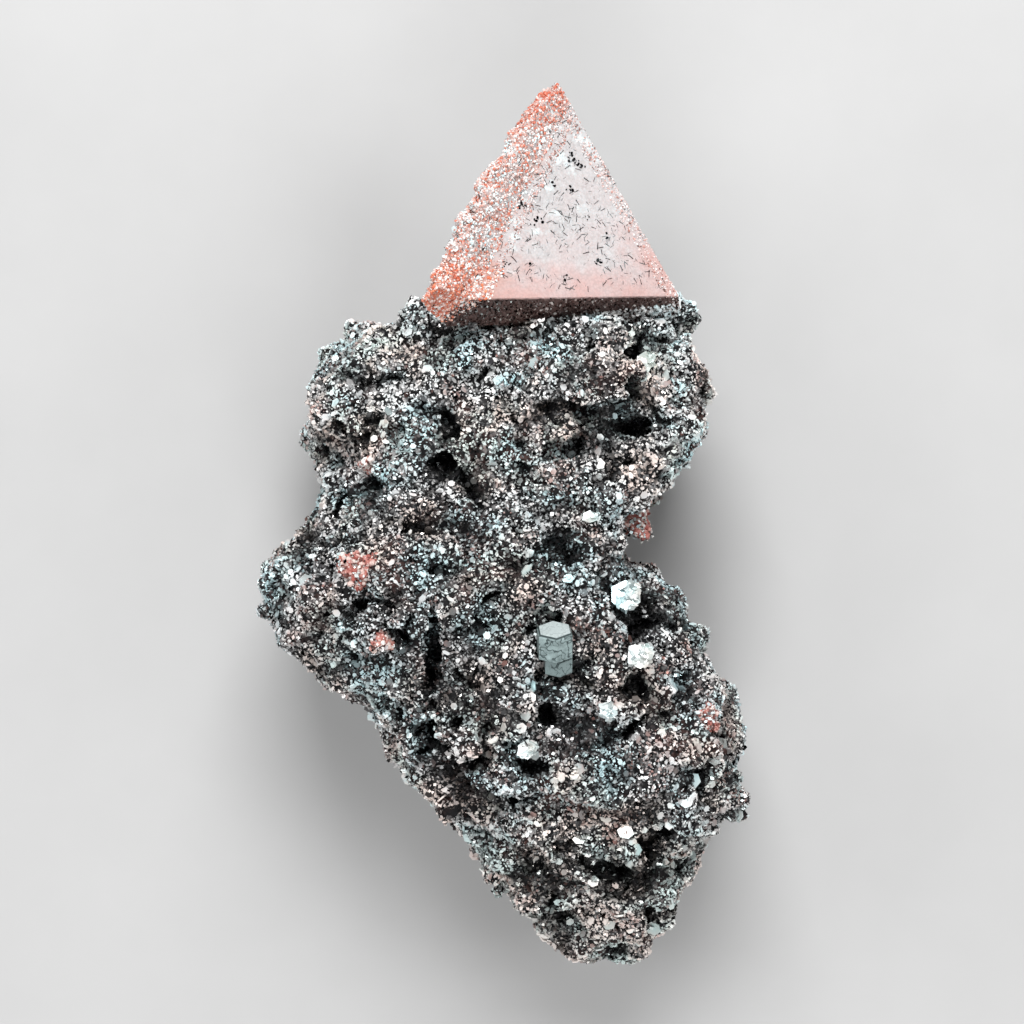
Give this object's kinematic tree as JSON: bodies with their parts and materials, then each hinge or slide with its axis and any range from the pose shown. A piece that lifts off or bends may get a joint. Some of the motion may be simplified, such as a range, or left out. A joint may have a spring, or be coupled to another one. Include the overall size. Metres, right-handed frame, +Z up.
{
  "type": "zunyite crystal in matrix",
  "caption": "Pink and white tetrahedral zunyite crystal with bevelled edges, standing on an irregular lump of dark glittering hematite matrix; a mineral specimen for display.",
  "frame": {"origin": "under the middle of the specimen's outline, on the surface that its flat broken back rests on", "axes": "+Y along the specimen towards the tip of the crystal, +Z up and out of the specimen's front"},
  "size_m": [0.0328, 0.0574, 0.0217],
  "materials": {
    "matrix": "granular, dark steel-grey, glittering",
    "zunyite": "vitreous, pale pink and white with a rust-red crust",
    "red_zunyite": "vitreous, red to pink",
    "pale_prism": "satin, grey-green",
    "bright_hematite": "mirror bright plates"
  },
  "bodies": {
    "root": {"matrix": "matrix", "zunyite_crystal": "zunyite", "prism_crystal": "pale_prism", "small_zunyite_1": "red_zunyite", "small_zunyite_2": "red_zunyite", "small_zunyite_3": "red_zunyite", "small_zunyite_4": "red_zunyite", "small_zunyite_5": "red_zunyite", "hematite_rosette_1": "bright_hematite", "hematite_rosette_2": "bright_hematite", "hematite_rosette_3": "bright_hematite", "hematite_rosette_4": "bright_hematite", "hematite_rosette_5": "bright_hematite", "hematite_rosette_6": "bright_hematite"}
  },
  "joints": []
}
